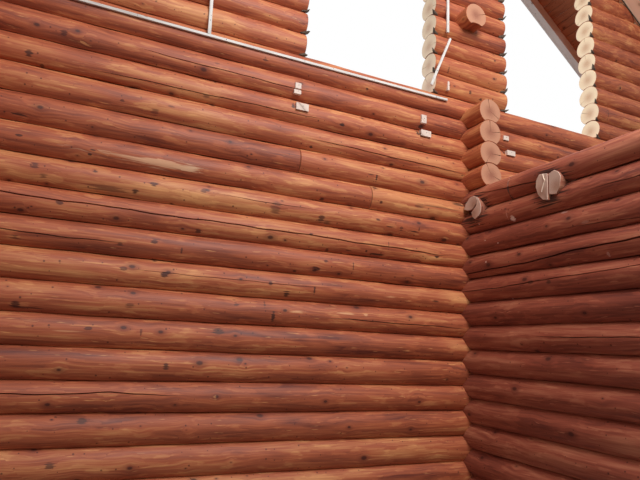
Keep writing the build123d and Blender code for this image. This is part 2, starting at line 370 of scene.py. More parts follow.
def round_log(along, place, height, start, end, seed, checks=(), tint=0.0, spacing=0.07):
    """Turned log as a grid of stations along it and angles round it, from a sawn end to the other.

    The skin lies at the log's outline plus a millimetre or so of slow waves. A check is a path of
    (distance, angle) pairs with a half width and a depth: its lips open by the half width and its
    bottom sinks by the depth, both fading to nothing at its ends. One that runs past a sawn end
    cuts into the end as a wedge. Ends follow the roof where it passes lower, and the floor flattens
    what would lie under it.
    """
    rng = np.random.default_rng(seed)
    lip = groove_edge()
    skin = np.linspace(-lip, lip, SKIN_COLUMNS)
    skin, middles, bottoms = columns_with_checks(skin, checks)
    columns = np.concatenate((skin, np.linspace(lip, 2 * np.pi - lip, SEAT_COLUMNS)[1:-1]))
    count = max(3, int((end - start) / spacing))
    inner = np.linspace(start + SAW_EDGE, end - SAW_EDGE, count)
    stations = np.concatenate(([start], inner, [end]))
    angle = np.tile(columns, (len(stations), 1))
    station = np.tile(stations[:, None], (1, len(columns)))

    sunk = np.zeros_like(angle)
    depth = np.zeros_like(angle)
    for (path, half_width, deepest), middle, bottom in zip(checks, middles, bottoms):
        places, angles = np.array(path).T
        line = np.radians(np.interp(stations, places, angles))
        for swing, pace in CHECK_WANDER:
            line += np.radians(swing) * np.sin(stations * pace + seed)
        spread = np.exp(-(((columns - middle) / CHECK_LEAN) ** 2))
        angle += (line - middle)[:, None] * spread[None, :]
        to_end = np.minimum(stations - places[0], places[-1] - stations)
        fade = np.clip(to_end / CHECK_CLOSING, 0, 1) ** CHECK_TAPER
        opening = np.maximum(CHECK_WIDENING * half_width * fade / LOG_RADIUS, LEAST_OPENING)
        angle[:, bottom - 1] = line - opening
        angle[:, bottom] = line
        angle[:, bottom + 1] = line + opening
        depth[:, bottom] = deepest * fade
        # The bottom column carries painted shade for the check, full where it is a third open, and sets its
        # wedge at a sawn end
        sunk[:, bottom] = np.minimum(1.0, DARKENING * fade)

    wave = np.zeros_like(angle)
    phases = rng.uniform(0, 2 * np.pi, len(SKIN_WAVES))
    for (rise, along_log, round_it), phase in zip(SKIN_WAVES, phases):
        wave += rise * np.sin(station * along_log + angle * round_it + phase)
    on_skin = columns[None, :] <= lip
    radius = log_outline(angle) + np.where(on_skin, wave, 0) - depth
    radius[[0, -1]] -= SAW_EDGE

    # Caps: the end outlines shrunk towards the heart. Each check cuts in along the log, and its painted
    # shade fades out on the way to the heart, from 0.875 to 0.25 of the radius
    scale = np.concatenate((CAP_RINGS, np.ones(len(stations)), CAP_RINGS[::-1]))[:, None]
    pad = len(CAP_RINGS)
    angle, radius, station, sunk = (
        np.concatenate((np.repeat(grid[:1], pad, 0), grid, np.repeat(grid[-1:], pad, 0)))
        for grid in (angle, radius, station, sunk)
    )
    ring = np.arange(len(scale))[:, None]
    at_end = (ring <= pad) * 1.0 - (ring >= len(scale) - pad - 1)
    station = station + at_end * WEDGE * sunk * scale
    sunk = sunk * np.where(at_end == 0, 1.0, np.interp(scale, (0.25, 0.875), (0, 1)))
    side = radius * scale * np.sin(angle)
    up = radius * scale * np.cos(angle)

    heart = np.array([0.0])
    side, up, sunk, arc = (
        np.concatenate((heart, grid.ravel(), heart)) for grid in (side, up, sunk, LOG_RADIUS * angle)
    )
    station = np.concatenate(([start], station.ravel(), [end]))
    level = np.maximum(height + up, 0.0)
    if along == "x":
        reach = (RIDGE - level) / ROOF_SLOPE - ROOF_GAP
        low, high = np.maximum(start, -reach), np.minimum(end, reach)
        across = low + (high - low) * (station - start) / (end - start)
        points = np.stack((across, place - side, level), axis=-1)
    else:
        level = np.minimum(level, RIDGE - abs(place - side) * ROOF_SLOPE - ROOF_GAP)
        points = np.stack((place - side, station, level), axis=-1)
    quads, fans = skin_faces(len(scale), len(columns), along == "x")
    band = np.arange(len(scale) - 1)
    capped = np.repeat((band < pad) | (band >= len(band) - pad), len(columns))
    number = rng.uniform(0, PATTERN_RANGE)
    return {
        "points": points,
        "quads": quads,
        "fans": fans,
        "capped": capped,
        "grain": np.stack(
            (station + number, arc + number / PATTERN_STEP, np.full_like(arc, number)), axis=-1
        ),
        "across": np.stack((side, up, np.full_like(arc, number)), axis=-1),
        "tint": np.full_like(arc, tint + rng.uniform(-TINT_RANGE, TINT_RANGE) - TINT_CENTRE),
        "check": sunk,
    }


def join(name, shapes, materials, crease=35.0):
    """One piece of several shapes and their attributes, smooth but where faces turn by the crease.

    The crease is in degrees. Caps take the last of the materials, and the skin takes the first.
    """
    before = np.cumsum([0] + [len(shape["points"]) for shape in shapes])
    quads = np.concatenate([shape["quads"] + first for shape, first in zip(shapes, before)])
    fans = np.concatenate([shape["fans"] + first for shape, first in zip(shapes, before)])
    mesh = bpy.data.meshes.new(name)
    mesh.from_pydata(
        np.concatenate([shape["points"] for shape in shapes]).tolist(), [], quads.tolist() + fans.tolist()
    )
    for key, kind, field in (
        ("grain", "FLOAT_VECTOR", "vector"),
        ("across", "FLOAT_VECTOR", "vector"),
        ("tint", "FLOAT", "value"),
        ("check", "FLOAT", "value"),
    ):
        values = np.concatenate([shape[key] for shape in shapes]).ravel()
        mesh.attributes.new(key, kind, "POINT").data.foreach_set(field, values.astype(np.float32))
    capped = np.concatenate([shape["capped"] for shape in shapes] + [np.ones(len(fans), bool)])
    mesh.polygons.foreach_set("material_index", capped.astype(np.int32) * (len(materials) - 1))
    mesh.polygons.foreach_set("use_smooth", np.ones(len(mesh.polygons), bool))
    mesh.set_sharp_from_angle(angle=np.radians(crease))
    for material in materials:
        mesh.materials.append(material)
    mesh.update()
    piece = bpy.data.objects.new(name, mesh)
    bpy.context.scene.collection.objects.link(piece)
    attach(piece, "root")
    return piece


def stand_in(node, shapes, materials):
    """Dresses one CAD node: the joined shapes ride on the wall and replace it."""
    piece = join(f"{node}_dressed", shapes, materials)
    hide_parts(node)


# Shakes: the longest as a share of the log, how far their line runs on past the sawn end, and half
# their width and their depth
LONGEST_SHAKE = 0.45
PAST_END = 0.4
HALF_SHAKE = 0.0022
SHAKE_DEPTH = 0.02


def end_shakes(start, end, seed):
    """Short checks that open from the sawn ends, one to an end, where the log dried first.

    Each end gets three draws, of which the first is spare: the others are its angle and its reach.
    """
    rng = np.random.default_rng(seed)
    shakes = []
    for edge, inward in ((start, 1), (end, -1)):
        _, angle, reach = rng.uniform((0, -130, 0.12), (1, 130, 0.5))
        reach = min(reach, LONGEST_SHAKE * (end - start))
        places = sorted((edge - inward * PAST_END, edge + inward * reach))
        shakes.append(([(place, angle) for place in places], HALF_SHAKE, SHAKE_DEPTH))
    return shakes


def apart(checks, gap=14.0):
    """Leaves out a check that comes within the gap, in degrees, of one listed before it."""
    kept = []
    for check in checks:
        middle = np.mean([angle for _, angle in check[0]])
        if all(abs(middle - np.mean([angle for _, angle in other[0]])) > gap for other in kept):
            kept.append(check)
    return kept


# Checks by course: places along the log with degrees from its top towards the room, then half the
# width and the depth. Splices by course: the left length is a little darker, and the right one
# lighter. Marks by x and z.
WALL_CHECKS = {
    6: [([(-4.4, 74), (-3.61, 77), (-3.3, 82), (-2.98, 72), (-2.55, 84)], 0.003, 0.02)],
    7: [
        ([(0.6, 84), (1.9, 90), (3.7, 86)], 0.003, 0.02),
        ([(-2.7, 86), (-2.6, 72), (-1.9, 70)], 0.0018, 0.012),
    ],
    9: [([(-1.5, 97), (-1.0, 99), (-0.5, 101.5), (-0.1, 103.5)], 0.0028, 0.02)],
    10: [([(-3.0, 82), (-1.9, 86), (-1.5, 83)], 0.0014, 0.01)],
    11: [([(-4.4, 95), (-3.78, 97), (-3.0, 99)], 0.0028, 0.02), ([(0.5, 92), (2.6, 97)], 0.002, 0.015)],
    12: [([(-4.4, 78), (-3.81, 80), (-2.82, 85), (-1.83, 87), (-0.3, 98)], 0.0036, 0.026)],
    13: [([(-2.45, 82), (-2.0, 86), (-1.55, 85)], 0.0018, 0.012)],
    15: [([(0.7, 96), (1.6, 99), (3.2, 94)], 0.0026, 0.018)],
    16: [([(-1.7, 98), (-1.0, 103), (-0.1, 111)], 0.003, 0.022)],
    17: [([(-3.4, 116), (-2.62, 112), (-1.6, 106)], 0.0026, 0.018)],
    18: [([(-3.1, 98), (-2.64, 101), (-1.9, 103), (-1.65, 101)], 0.0026, 0.018)],
}
WALL_SPLICES = {14: -1.1, 15: -1.77}
HALF_SPLICE = 0.0022
SPLICE_REACH = 0.5
DARKER = -0.07
LIGHTER = 0.08
# Dark colour of gouges, also used for painted shade in the corner by the partition
SCAR_AND_SHADE = "30120A"
KNOT = "3A0D08"
BARE = "E2A878"
WALL_MARKS = [
    # Painted shade in the corner where the partition's top log meets the wall
    (-0.170, 2.985, 0.080, 0.022, 0.8, SCAR_AND_SHADE),
    (-1.037, 2.712, 0.020, 0.014, 0.8, KNOT),
    (-1.509, 2.305, 0.024, 0.014, 0.8, KNOT),
    (-1.587, 2.232, 0.030, 0.018, 0.85, KNOT),
    (-1.762, 2.206, 0.016, 0.010, 0.85, KNOT),
    (-1.964, 2.085, 0.018, 0.014, 0.85, KNOT),
    (-2.214, 1.911, 0.022, 0.016, 0.7, KNOT),
    (-2.499, 2.738, 0.024, 0.018, 0.8, KNOT),
    (-3.639, 2.718, 0.026, 0.022, 0.7, KNOT),
    (-3.583, 2.661, 0.034, 0.020, 0.6, KNOT),
    (-2.881, 2.720, 0.028, 0.022, 0.85, KNOT),
    (-2.525, 2.729, 0.030, 0.022, 0.7, KNOT),
    (-3.462, 2.491, 0.022, 0.016, 0.8, KNOT),
    (-2.536, 2.424, 0.022, 0.014, 0.8, KNOT),
    (-3.688, 2.235, 0.030, 0.016, 0.6, KNOT),
    (-3.059, 2.268, 0.022, 0.014, 0.7, KNOT),
    (-2.838, 2.303, 0.026, 0.018, 0.85, KNOT),
    (-2.748, 2.080, 0.028, 0.020, 0.9, KNOT),
    (-3.019, 2.097, 0.022, 0.014, 0.7, KNOT),
    (-1.261, 2.290, 0.007, 0.035, 0.7, SCAR_AND_SHADE),
    (-1.825, 2.016, 0.030, 0.026, 0.85, SCAR_AND_SHADE),
    (-1.598, 2.065, 0.008, 0.038, 0.8, SCAR_AND_SHADE),
    (-1.925, 1.840, 0.016, 0.038, 0.85, SCAR_AND_SHADE),
    (-1.995, 1.927, 0.008, 0.030, 0.6, SCAR_AND_SHADE),
    (-2.332, 1.713, 0.040, 0.026, 0.7, SCAR_AND_SHADE),
    (-3.756, 2.907, 0.020, 0.010, 0.8, SCAR_AND_SHADE),
    (-3.306, 2.891, 0.026, 0.009, 0.9, SCAR_AND_SHADE),
    (-3.323, 2.860, 0.016, 0.009, 0.9, SCAR_AND_SHADE),
    (-3.273, 2.745, 0.024, 0.012, 0.8, SCAR_AND_SHADE),
    (-3.001, 2.643, 0.026, 0.016, 0.85, SCAR_AND_SHADE),
    (-3.180, 2.634, 0.160, 0.026, 0.45, SCAR_AND_SHADE),
    (-2.645, 2.260, 0.008, 0.030, 0.7, SCAR_AND_SHADE),
    (-1.321, 1.902, 0.085, 0.010, 0.7, BARE),
    (-1.736, 1.888, 0.080, 0.010, 0.7, BARE),
    (-0.901, 2.067, 0.080, 0.009, 0.6, BARE),
    (-1.132, 1.901, 0.022, 0.012, 0.7, BARE),
    (-2.790, 2.882, 0.260, 0.032, 0.85, "D9A27C"),
    (-2.650, 2.886, 0.100, 0.024, 0.5, "EBC49E"),
    (-1.06, 3.085, 0.010, 0.034, 0.9, SCAR_AND_SHADE),
    (-1.12, 3.10, 0.030, 0.006, 0.7, SCAR_AND_SHADE),
    (-0.92, 2.668, 0.055, 0.007, 0.9, SCAR_AND_SHADE),
    (-0.80, 2.672, 0.018, 0.022, 0.6, SCAR_AND_SHADE),
    (-0.66, 2.660, 0.05, 0.006, 0.9, SCAR_AND_SHADE),
    (-0.62, 2.678, 0.006, 0.022, 0.8, SCAR_AND_SHADE),
    (-1.30, 2.420, 0.03, 0.005, 0.7, SCAR_AND_SHADE),
    (-1.02, 2.418, 0.09, 0.008, 0.9, SCAR_AND_SHADE),
    (-0.927, 2.505, 0.006, 0.040, 0.8, SCAR_AND_SHADE),
    (-0.426, 2.454, 0.022, 0.014, 0.9, SCAR_AND_SHADE),
    (-0.856, 2.240, 0.020, 0.010, 0.7, SCAR_AND_SHADE),
    (-0.681, 2.268, 0.026, 0.007, 0.7, SCAR_AND_SHADE),
    (-0.440, 2.062, 0.050, 0.010, 0.8, SCAR_AND_SHADE),
    (-2.675, 1.459, 0.024, 0.024, 0.8, SCAR_AND_SHADE),
    (-3.159, 1.105, 0.030, 0.020, 0.7, SCAR_AND_SHADE),
    (-3.310, 0.846, 0.030, 0.018, 0.7, SCAR_AND_SHADE),
    (-3.779, 3.494, 0.024, 0.022, 0.8, SCAR_AND_SHADE),
    (-3.693, 3.443, 0.016, 0.014, 0.7, SCAR_AND_SHADE),
    (-3.780, 3.056, 0.050, 0.008, 0.8, SCAR_AND_SHADE),
    (-0.44, 2.915, 0.22, 0.008, 0.85, SCAR_AND_SHADE),
    (-0.62, 2.895, 0.05, 0.02, 0.6, SCAR_AND_SHADE),
    (-1.563, 2.652, 0.032, 0.036, 0.75, SCAR_AND_SHADE),
    (-1.50, 2.628, 0.05, 0.016, 0.6, SCAR_AND_SHADE),
    (-1.95, 2.715, 0.055, 0.026, 0.5, SCAR_AND_SHADE),
    (-1.676, 3.249, 0.018, 0.016, 0.9, SCAR_AND_SHADE),
    (-1.409, 3.494, 0.022, 0.014, 0.9, SCAR_AND_SHADE),
    (-1.172, 3.890, 0.016, 0.012, 0.9, SCAR_AND_SHADE),
    (-2.509, 3.62, 0.02, 0.014, 0.9, SCAR_AND_SHADE),
    (-2.95, 2.885, 0.42, 0.020, 0.6, "D9A27C"),
    (-0.62, 2.945, 0.46, 0.045, 0.35, "E39A5E"),
    (-1.862, 3.568, 0.020, 0.030, 0.9, SCAR_AND_SHADE),
    (-0.634, 3.592, 0.016, 0.032, 0.9, SCAR_AND_SHADE),
    (-0.590, 3.664, 0.022, 0.018, 0.8, SCAR_AND_SHADE),
    (0.385, 3.600, 0.016, 0.026, 0.9, SCAR_AND_SHADE),
    (-3.587, 3.705, 0.026, 0.020, 0.75, KNOT),
    (-2.510, 3.764, 0.018, 0.014, 0.5, KNOT),
    (-2.123, 3.902, 0.024, 0.018, 0.7, KNOT),
    (-2.571, 3.480, 0.030, 0.016, 0.6, KNOT),
    (-2.512, 3.430, 0.022, 0.014, 0.8, KNOT),
    (-2.819, 3.331, 0.028, 0.010, 0.6, KNOT),
    (-3.159, 3.299, 0.014, 0.010, 0.7, KNOT),
    (-2.927, 3.265, 0.030, 0.024, 0.5, KNOT),
    (-1.962, 2.674, 0.050, 0.030, 0.55, KNOT),
    (-1.553, 2.821, 0.020, 0.012, 0.85, KNOT),
    (-1.134, 2.434, 0.012, 0.010, 0.9, KNOT),
    (-1.489, 2.406, 0.020, 0.012, 0.8, KNOT),
    (-1.647, 2.506, 0.016, 0.012, 0.8, KNOT),
    (-1.008, 2.875, 0.016, 0.014, 0.8, KNOT),
    (-3.629, 1.814, 0.030, 0.024, 0.8, KNOT),
    (-3.549, 1.796, 0.090, 0.008, 0.7, KNOT),
    (-3.193, 1.687, 0.022, 0.014, 0.75, KNOT),
    (-2.950, 1.854, 0.034, 0.020, 0.55, KNOT),
    (-2.818, 2.180, 0.022, 0.014, 0.9, KNOT),
    (-2.861, 1.671, 0.008, 0.030, 0.6, KNOT),
    (-3.319, 1.660, 0.080, 0.006, 0.4, BARE),
    (-0.033, 4.133, 0.016, 0.018, 0.8, SCAR_AND_SHADE),
    (0.105, 4.098, 0.018, 0.012, 0.8, SCAR_AND_SHADE),
    (0.248, 4.127, 0.007, 0.018, 0.8, SCAR_AND_SHADE),
    (-0.282, 4.318, 0.010, 0.040, 0.6, SCAR_AND_SHADE),
    (0.285, 4.562, 0.018, 0.012, 0.8, KNOT),
    (-0.227, 4.150, 0.018, 0.010, 0.6, KNOT),
    (1.93, 4.335, 0.006, 0.050, 0.7, SCAR_AND_SHADE),
]
# One material can't hold all the marks, so each band of courses gets those that reach into it. A band
# is given by its first course and the first one above it.
MIDDLE_BAND = 12
BANDS = {
    "low": (0, MIDDLE_BAND),
    "middle": (MIDDLE_BAND, SILL_COURSES),
    "upper": (SILL_COURSES, LAST_COURSE + 1),
}
stained = {}
for band, (low, high) in BANDS.items():
    lowest, highest = (low - 0.5) * COURSE, (high - 0.5) * COURSE
    marks = [mark for mark in WALL_MARKS if lowest - mark[3] < mark[1] < highest + mark[3]]
    stained[band] = varnished_log(f"stained_varnished_{band}_log", "65281A", "AC5836", "DA965F", marks)

# The logs' ends took the stain too, but thinly: a dull pinkish brown
sawn_wall_end = sawn_end("sawn_log_end", "8A4E38", "B98062")

courses = {}
for course in range(SILL_COURSES):
    height = course * COURSE
    checks = WALL_CHECKS.get(course, [])
    first = course // 4 * 4 + course % 2
    if course in WALL_SPLICES:
        joint = WALL_SPLICES[course]
        lengths = ((-GABLE_END, joint - HALF_SPLICE, DARKER), (joint + HALF_SPLICE, GABLE_END, LIGHTER))
    else:
        lengths = ((-GABLE_END, GABLE_END, 0.0),)
    for start, end, tint in lengths:
        inside = [
            check for check in checks
            if check[0][0][0] >= start - SPLICE_REACH and check[0][-1][0] <= end + SPLICE_REACH
        ]
        opened = apart(inside + end_shakes(start, end, seed=7 + course))
        log = round_log("x", 0, height, start, end, seed=100 + course, checks=opened, tint=tint)
        courses.setdefault(f"gable_courses_{first:02d}_{first + 2:02d}", []).append(log)
for node, logs in courses.items():
    band = "low" if int(node.split("_")[-1]) < MIDDLE_BAND else "middle"
    stand_in(node, logs, [stained[band], sawn_wall_end])


# Pillar between the windows, the piers beside them and the gable above: the same logs in short
# lengths, sawn plumb at the windows and to the slope of the roof.
JAMB_INNER = 0.44
JAMB_OUTER = 1.77
HEAD_COURSE = 28
PIER_CHECKS = {("right_pier_odd", 21): [([(1.9, 82), (1.96, 86), (2.45, 93), (3.4, 97)], 0.0018, 0.012)]}

# The ends at the windows are a paler copy of the sawn ends, pale as cream: painted light from the windows
# that falls on them
sawn_jamb_painted_light = sawn_end("sawn_jamb_painted_light", "C49A78", "EBD2B0")

upper = {}
for course in range(SILL_COURSES, HEAD_COURSE + 1):
    turn = "odd" if course % 2 else "even"
    for name, start, end in (
        (f"left_pier_{turn}", -GABLE_END, -JAMB_OUTER),
        (f"pillar_{turn}", -JAMB_INNER, JAMB_INNER),
        (f"right_pier_{turn}", JAMB_OUTER, GABLE_END),
    ):
        seed = 10 * course + len(name)
        checks = apart(PIER_CHECKS.get((name, course), []) + end_shakes(start, end, seed))
        log = round_log("x", 0, course * COURSE, start, end, seed, checks)
        upper.setdefault(name, []).append(log)
for course in range(HEAD_COURSE + 1, LAST_COURSE + 1):
    turn = "odd" if course % 2 else "even"
    height = course * COURSE
    half = (RIDGE - height + LOG_RADIUS) / ROOF_SLOPE
    log = round_log("x", 0, height, -half, half, seed=300 + course)
    upper.setdefault(f"gable_top_{turn}", []).append(log)
for node, logs in upper.items():
    stand_in(node, logs, [stained["upper"], sawn_jamb_painted_light])


# Partition: the same turned logs, half a course higher, stained a shade redder. Above its top log
# only short ties carry the crossing on up to the sill, and one more crosses the pillar.
PARTITION_COURSES = 15
PARTITION_END = -3.0
PARTITION_JOINT = -0.673
CROSS_END = 0.35
TIE_END = -0.35
TIE_TINT = 0.03
TIE_SPACING = 0.03
UPPER_TIE_PLACE = -0.06
UPPER_TIE_COURSE = 23.5
UPPER_TIE_END = -0.25
JOIST_PLACES = (-0.317, -1.161)
JOIST_HEIGHT = 14 * COURSE
PARTITION_CHECKS = {
    3: [([(-2.6, 88), (-1.2, 92)], 0.0022, 0.015)],
    5: [([(-3.2, 96), (-2.0, 93)], 0.0024, 0.016)],
    8: [([(-2.9, 84), (-1.9, 88), (-0.9, 86)], 0.0026, 0.018)],
    10: [([(-2.3, 70), (-1.77, 72.5), (-1.0, 84), (-0.76, 88), (-0.47, 95), (0.2, 95)], 0.0024, 0.016)],
    11: [([(-2.6, 84), (-1.56, 91), (-1.32, 95), (-1.01, 106), (-0.53, 115), (0.25, 122)], 0.0042, 0.028)],
    12: [([(-2.3, 135), (-1.78, 127), (-1.56, 119), (-1.2, 112)], 0.0018, 0.012)],
    13: [([(-2.7, 95), (-1.4, 99)], 0.002, 0.014)],
    14: [([(-1.35, 128), (-1.0, 110), (-0.67, 96), (-0.33, 76), (-0.12, 60)], 0.003, 0.02)],
}
PARTITION_MARKS = [
    # Painted shadow round each joist where it comes through the partition: a dark disc a little wider than
    # the joist, which shows as a ring
    (-0.254, 2.905, 0.165, 0.165, 0.9, "1A0E0C"),
    (-1.106, 2.900, 0.165, 0.165, 0.9, "1A0E0C"),
    (PARTITION_JOINT, 2.990, 0.009, 0.150, 0.8, "1A0E0C"),
    (-0.697, 2.735, 0.026, 0.024, 1.0, "E8D4C8"),
    (-0.648, 2.775, 0.006, 0.040, 0.8, "C08A78"),
    (-1.195, 2.686, 0.040, 0.010, 0.7, "C9A294"),
    (-1.395, 2.564, 0.030, 0.014, 0.5, "B0806E"),
    (-0.306, 2.764, 0.006, 0.006, 0.8, "DCC4B8"),
    (-0.386, 2.601, 0.006, 0.006, 0.8, "DCC4B8"),
    (-0.532, 2.556, 0.009, 0.006, 0.8, "DCC4B8"),
    (-0.387, 2.411, 0.010, 0.010, 0.8, "DCC4B8"),
    (-0.640, 2.082, 0.010, 0.008, 0.7, "DCC4B8"),
    (-1.542, 2.321, 0.010, 0.022, 0.6, "C9A294"),
    (-0.880, 2.190, 0.030, 0.016, 0.7, SCAR_AND_SHADE),
    (-1.060, 2.180, 0.024, 0.020, 0.7, SCAR_AND_SHADE),
]

# The partition's stain lies a shade darker and redder than the gable wall's
stained_partition = varnished_log(
    "stained_varnished_partition_log", "582119", "964B36", "C07A5A", PARTITION_MARKS, "y"
)

courses = {}
for course in range(PARTITION_COURSES):
    height = (course + 0.5) * COURSE
    first = course // 4 * 4 + course % 2
    node = f"partition_courses_{first:02d}"
    if first + 2 < PARTITION_COURSES:
        node += f"_{first + 2:02d}"
    lengths = [(PARTITION_END, CROSS_END)]
    if course == PARTITION_COURSES - 1:
        lengths = [(PARTITION_END, PARTITION_JOINT - HALF_SPLICE), (PARTITION_JOINT + HALF_SPLICE, CROSS_END)]
    for start, end in lengths:
        checks = apart(PARTITION_CHECKS.get(course, []) + end_shakes(start, end, seed=40 + course))
        log = round_log("y", 0, height, start, end, seed=500 + course, checks=checks)
        courses.setdefault(node, []).append(log)
for node, logs in courses.items():
    stand_in(node, logs, [stained_partition, sawn_wall_end])

# The ties' ends are split: degrees from the top and how far in, two to a log
TIE_SHAKES = {
    15: [(-105, 0.3), (30, 0.2)],
    16: [(-88, 0.35), (150, 0.2)],
    17: [(2, 0.4), (-80, 0.2)],
    18: [(8, 0.35), (-120, 0.2)],
}
HALF_TIE_SHAKE = 0.003
ties = {}
for course, splits in TIE_SHAKES.items():
    turn = "odd" if course % 2 else "even"
    shakes = [
        ([(TIE_END - PAST_END, angle), (TIE_END + reach, angle)], HALF_TIE_SHAKE, SHAKE_DEPTH)
        for angle, reach in splits
    ]
    height = (course + 0.5) * COURSE
    log = round_log("y", 0, height, TIE_END, CROSS_END, 520 + course, apart(shakes), TIE_TINT, TIE_SPACING)
    ties.setdefault(f"tie_logs_{turn}", []).append(log)
shakes = end_shakes(UPPER_TIE_END, CROSS_END, seed=3)
height = UPPER_TIE_COURSE * COURSE
ties["upper_tie_log"] = [
    round_log("y", UPPER_TIE_PLACE, height, UPPER_TIE_END, CROSS_END, 560, shakes, TIE_TINT, TIE_SPACING)
]
for node, logs in ties.items():
    stand_in(node, logs, [stained["upper"], sawn_wall_end])


# Corners with the side walls: side-wall logs cut off 600 mm into the room, their outer ends 350 mm
# out, both from the gable wall's middle. The top ones are hewn to the slope of the roof.
SIDE_COURSES = 21
CORNER_PLACE = 4.15
SIDE_RETURN = -0.6

for side, place in (("left", -CORNER_PLACE), ("right", CORNER_PLACE)):
    corner = {"even": [], "odd": []}
    for course in range(SIDE_COURSES):
        seed = 700 + course + int(100 * place)
        checks = apart(end_shakes(SIDE_RETURN, CROSS_END, seed))
        log = round_log("y", place, (course + 0.5) * COURSE, SIDE_RETURN, CROSS_END, seed, checks)
        corner["odd" if course % 2 else "even"].append(log)
    for turn, logs in corner.items():
        stand_in(f"{side}_corner_{turn}", logs, [stained["upper"], sawn_wall_end])


# Upper-floor joists: round poles whose ends come through the partition and are hewn with an axe to
# blunt faceted tips. Both tips have split: the nearer one upright, and the further one aslant below
# a lost corner. Each half is given by its face's place and its corners about the joist's axis.
JOIST_RADIUS = 0.118
JOIST_END = 0.6
BODY_END = -0.045
TIP_ROOT = -0.035
TURNED_EDGE = 0.003
HEWN_TIPS = (
    (
        (-0.138, ((0.185, 0.017), (0.161, 0.067), (0.1, 0.115), (0.06, 0.119), (0.01, 0.098), (0.016, 0.036),
                  (0.078, -0.006), (0.137, -0.001))),
        (-0.143, ((-0.002, 0.092), (-0.037, 0.043), (-0.049, -0.005), (-0.044, -0.049), (-0.022, -0.078),
                  (0.031, -0.105), (0.069, -0.075), (0.08, -0.034), (0.06, -0.018), (0.008, 0.024))),
    ),
    (
        (-0.146, ((0.132, 0.101), (0.092, 0.096), (0.053, 0.087), (0.052, -0.018), (0.057, -0.121),
                  (0.102, -0.11), (0.148, -0.059), (0.168, 0.006), (0.163, 0.059))),
        (-0.139, ((0.045, 0.084), (-0.005, 0.1), (-0.045, 0.074), (-0.064, 0.036), (-0.052, -0.037),
                  (-0.017, -0.092), (0.049, -0.078))),
    ),
)
SPLINTER_EDGE = 0.0008
SPLINTER_SECTION = ((0.003, -0.004), (-0.007, 0.0), (0.003, 0.004))
SPLINTER = ((0.091, 0.091), (0.087, 0.064), (0.076, 0.038), (0.086, 0.021), (0.104, -0.024), (0.111, -0.048))

# Each bar has its own shade, and rings about a heart that lies 50 mm to one side of its middle
BAR_TINT_RANGE = 0.09
OFF_HEART = 0.05


def bar(rings, seed, edge, tint=0.0):
    """Closed bar through rings of corners, with every corner and both ends eased by the edge.

    Each corner becomes two points, the edge away from it towards its neighbours. The end rings
    shrink by the edge, and the next ones stand the edge further in. The faces are turned round where
    the volume, a sixth of the sum over faces of a . (b x c), comes out negative.
    """
    rings = np.asarray(rings, float)
    ahead = np.roll(rings, -1, axis=1) - rings
    ahead /= np.linalg.norm(ahead, axis=2, keepdims=True)
    rows = np.stack((rings + edge * ahead, np.roll(rings, -1, axis=1) - edge * ahead), axis=2)
    rows = rows.reshape(len(rings), -1, 3)
    middles = rows.mean(axis=1)
    size = np.linalg.norm(rows - middles[:, None], axis=2).mean()
    capped_ends = []
    for first, second in ((0, 1), (-1, -2)):
        step = edge / np.linalg.norm(middles[second] - middles[first])
        small = middles[first] + (rows[first] - middles[first]) * (1 - edge / size)
        capped_ends.append((small, rows[first] + (rows[second] - rows[first]) * step))
    (start, after_start), (finish, before_finish) = capped_ends
    rows = np.concatenate(([start, after_start], rows[1:-1], [before_finish, finish]))
    points = np.concatenate((middles[:1], rows.reshape(-1, 3), middles[-1:]))
    quads, fans = skin_faces(len(rows), rows.shape[1], False)
    corners = points[np.concatenate((quads[:, :3], quads[:, [0, 2, 3]], fans))]
    if np.einsum("ij,ij->i", corners[:, 0], np.cross(corners[:, 1], corners[:, 2])).sum() < 0:
        quads, fans = quads[:, ::-1], fans[:, ::-1]

    # The grain runs from the middle of the first ring towards that of the last
    number = np.random.default_rng(seed).uniform(0, PATTERN_RANGE)
    own_tint = np.random.default_rng(seed + 1).uniform(-BAR_TINT_RANGE, BAR_TINT_RANGE)
    length = np.linalg.norm(middles[-1] - middles[0])
    axis = (middles[-1] - middles[0]) / length
    broad = rings[0, 1] - rings[0, 0]
    broad /= np.linalg.norm(broad)
    offset = points - middles[0]
    station, over, through = offset @ axis, offset @ broad, offset @ np.cross(axis, broad)
    same = np.full_like(station, number)
    capped = np.zeros((len(rows) - 1, rows.shape[1]), bool)
    capped[[0, -1]] = True
    return {
        "points": points,
        "quads": quads,
        "fans": fans,
        "capped": capped.ravel(),
        "grain": np.stack((station + number, over + through + number / PATTERN_STEP, same), axis=-1),
        "across": np.stack((over, through + OFF_HEART, same), axis=-1),
        "tint": np.full_like(station, tint + own_tint - TINT_CENTRE),
        "check": np.zeros_like(station),
    }


def around(x, place, height, corners):
    """Ring of corners (along y, up) about a joist's axis, in the plane at x."""
    return [(x, place + over, height + rise) for over, rise in corners]


# The joists took less stain, a greyish rose, and their hewn tips are all but bare
stained_joist = varnished_log("stained_joist", "5E2A1E", "9A5A44", "C49070")
hewn_end = sawn_end("hewn_joist_end", "A67B66", "CDAE9C")
turns = np.linspace(0, 2 * np.pi, 36, endpoint=False)
circle = [(JOIST_RADIUS * np.sin(turn), JOIST_RADIUS * np.cos(turn)) for turn in turns]
joists = []
for number, (place, halves) in enumerate(zip(JOIST_PLACES, HEWN_TIPS)):
    body = [around(x, place, JOIST_HEIGHT, circle) for x in np.linspace(BODY_END, JOIST_END, 8)]
    joists.append(bar(body, 900 + number, TURNED_EDGE))
    for half, (tip, corners) in enumerate(halves):
        rings = [around(x, place, JOIST_HEIGHT, corners) for x in (TIP_ROOT, tip)]
        joists.append(bar(rings, 910 + 2 * number + half, TURNED_EDGE))
stand_in("joists", joists, [stained_joist, hewn_end])

